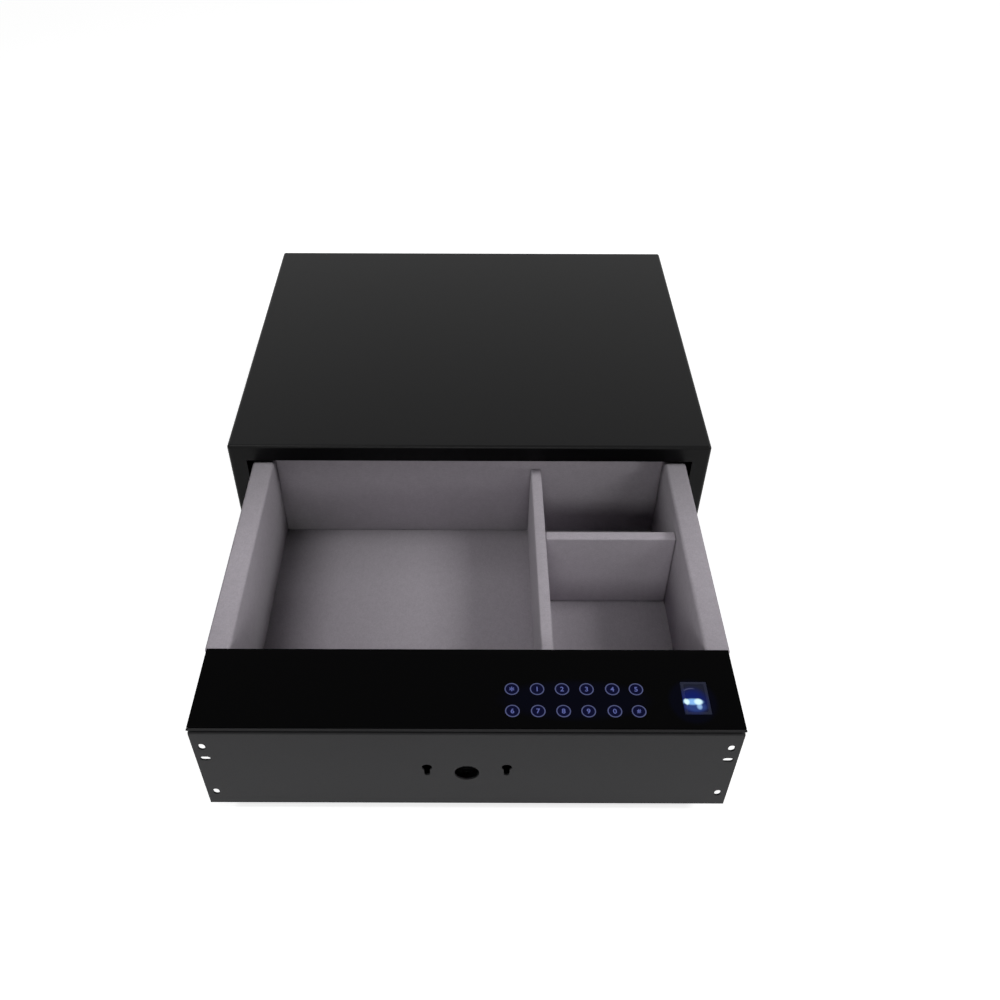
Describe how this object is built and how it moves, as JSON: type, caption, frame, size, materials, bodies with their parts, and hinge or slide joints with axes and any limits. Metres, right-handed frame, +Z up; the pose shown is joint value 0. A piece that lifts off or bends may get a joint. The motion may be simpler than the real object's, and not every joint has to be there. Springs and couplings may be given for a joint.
{
  "type": "under desk drawer safe",
  "caption": "Steel drawer safe for under a desk: felt-lined drawer on ball slides, with a touch keypad, a fingerprint reader and an override key lock.",
  "frame": {"origin": "centre of the underside of the cabinet's steel base", "axes": "+X to the right seen from the front, +Y to the back of the cabinet, +Z up; the drawer opens towards -Y"},
  "size_m": [0.453, 0.661, 0.13],
  "materials": {
    "powder_coat": "satin dark grey powder coat",
    "front_coat": "satin charcoal powder coat",
    "zinc": "zinc plated steel",
    "bright_steel": "bright steel",
    "brass": "turned brass",
    "black_zinc": "black plated lock parts",
    "felt": "short pile purplish grey felt",
    "gloss_panel": "gloss black acrylic with backlit keys",
    "black_plastic": "moulded black plastic",
    "reader_glass": "dark blue backlit glass",
    "circuit_board": "green board with black parts",
    "rubber": "matte black rubber",
    "cell_wrap": "plain cell wrap, unprinted"
  },
  "bodies": {
    "cabinet": {"cabinet_wrap": "powder_coat", "cabinet_base": "powder_coat", "cabinet_back": "powder_coat", "left_rail_bracket": "zinc", "right_rail_bracket": "zinc", "left_outer_rail": "zinc", "right_outer_rail": "zinc", "left_rail_buffer": "rubber", "right_rail_buffer": "rubber", "left_outer_rail_screw_front": "bright_steel", "left_outer_rail_screw_rear": "bright_steel", "right_outer_rail_screw_front": "bright_steel", "right_outer_rail_screw_rear": "bright_steel"},
    "drawer": {"drawer_tub": "powder_coat", "tub_front_wall": "powder_coat", "tub_rear_wall": "powder_coat", "bay_bulkhead": "powder_coat", "front_plate": "front_coat", "top_cover": "front_coat", "keypad_panel": "gloss_panel", "keypad_board": "circuit_board", "fingerprint_bezel": "black_plastic", "fingerprint_window": "reader_glass", "fingerprint_module": "black_plastic", "floor_liner": "felt", "left_side_liner": "felt", "right_side_liner": "felt", "rear_liner": "felt", "front_liner": "felt", "long_divider": "felt", "cross_divider": "felt", "left_inner_rail": "zinc", "right_inner_rail": "zinc", "left_inner_rail_screw_front": "bright_steel", "left_inner_rail_screw_rear": "bright_steel", "right_inner_rail_screw_front": "bright_steel", "right_inner_rail_screw_rear": "bright_steel", "battery_tray": "black_plastic", "battery_1": "cell_wrap", "battery_2": "cell_wrap", "battery_3": "cell_wrap", "battery_4": "cell_wrap", "battery_door_pin": "bright_steel", "control_board": "circuit_board", "lock_bracket": "zinc", "gear_motor": "bright_steel", "key_lock_body": "black_zinc", "key_lock_nut": "zinc"},
    "left_middle": {"left_middle_rail": "zinc"},
    "right_middle": {"right_middle_rail": "zinc"},
    "left_outer_cage": {"left_outer_ball_cage": "bright_steel"},
    "right_outer_cage": {"right_outer_ball_cage": "bright_steel"},
    "left_inner_cage": {"left_inner_ball_cage": "bright_steel"},
    "right_inner_cage": {"right_inner_ball_cage": "bright_steel"},
    "bolt": {"bolt_carrier": "zinc", "lock_bolt": "bright_steel"},
    "pinion": {"drive_pinion": "brass"},
    "key_plug": {"key_lock_plug": "black_zinc", "key_crank": "zinc"},
    "battery_lid": {"battery_door": "black_plastic"}
  },
  "joints": [
    {"name": "drawer_slide", "type": "slide", "parent": "cabinet", "child": "drawer", "axis": [0, 1, 0], "range_m": [0, 0.296]},
    {"name": "left_middle_slide", "type": "slide", "parent": "cabinet", "child": "left_middle", "axis": [0, 1, 0], "range_m": [0, 0.148]},
    {"name": "right_middle_slide", "type": "slide", "parent": "cabinet", "child": "right_middle", "axis": [0, 1, 0], "range_m": [0, 0.148]},
    {"name": "left_outer_cage_slide", "type": "slide", "parent": "cabinet", "child": "left_outer_cage", "axis": [0, 1, 0], "range_m": [0, 0.074]},
    {"name": "right_outer_cage_slide", "type": "slide", "parent": "cabinet", "child": "right_outer_cage", "axis": [0, 1, 0], "range_m": [0, 0.074]},
    {"name": "left_inner_cage_slide", "type": "slide", "parent": "cabinet", "child": "left_inner_cage", "axis": [0, 1, 0], "range_m": [0, 0.222]},
    {"name": "right_inner_cage_slide", "type": "slide", "parent": "cabinet", "child": "right_inner_cage", "axis": [0, 1, 0], "range_m": [0, 0.222]},
    {"name": "bolt_slide", "type": "slide", "parent": "drawer", "child": "bolt", "axis": [0, 0, -1], "range_m": [0, 0.00848]},
    {"name": "pinion_spin", "type": "hinge", "parent": "drawer", "child": "pinion", "pos_m": [0.0347, -0.4357, 0.0516], "axis": [0, -1, 0], "range_deg": [0, 81.1]},
    {"name": "key_turn", "type": "hinge", "parent": "drawer", "child": "key_plug", "pos_m": [0, -0.4585, 0.0516], "axis": [0, 1, 0], "range_deg": [0, 90]},
    {"name": "battery_lid_hinge", "type": "hinge", "parent": "drawer", "child": "battery_lid", "pos_m": [-0.10565, -0.4015, 0.03938], "axis": [-1, 0, 0], "range_deg": [0, 90]}
  ],
  "couplings": [
    {"joint": "left_middle_slide", "follows": "drawer_slide", "ratio": 0.5},
    {"joint": "right_middle_slide", "follows": "drawer_slide", "ratio": 0.5},
    {"joint": "left_outer_cage_slide", "follows": "drawer_slide", "ratio": 0.25},
    {"joint": "right_outer_cage_slide", "follows": "drawer_slide", "ratio": 0.25},
    {"joint": "left_inner_cage_slide", "follows": "drawer_slide", "ratio": 0.75},
    {"joint": "right_inner_cage_slide", "follows": "drawer_slide", "ratio": 0.75},
    {"joint": "pinion_spin", "follows": "bolt_slide", "rad_per_m": 166.67},
    {"joint": "key_turn", "follows": "bolt_slide", "rad_per_m": 185.12}
  ]
}
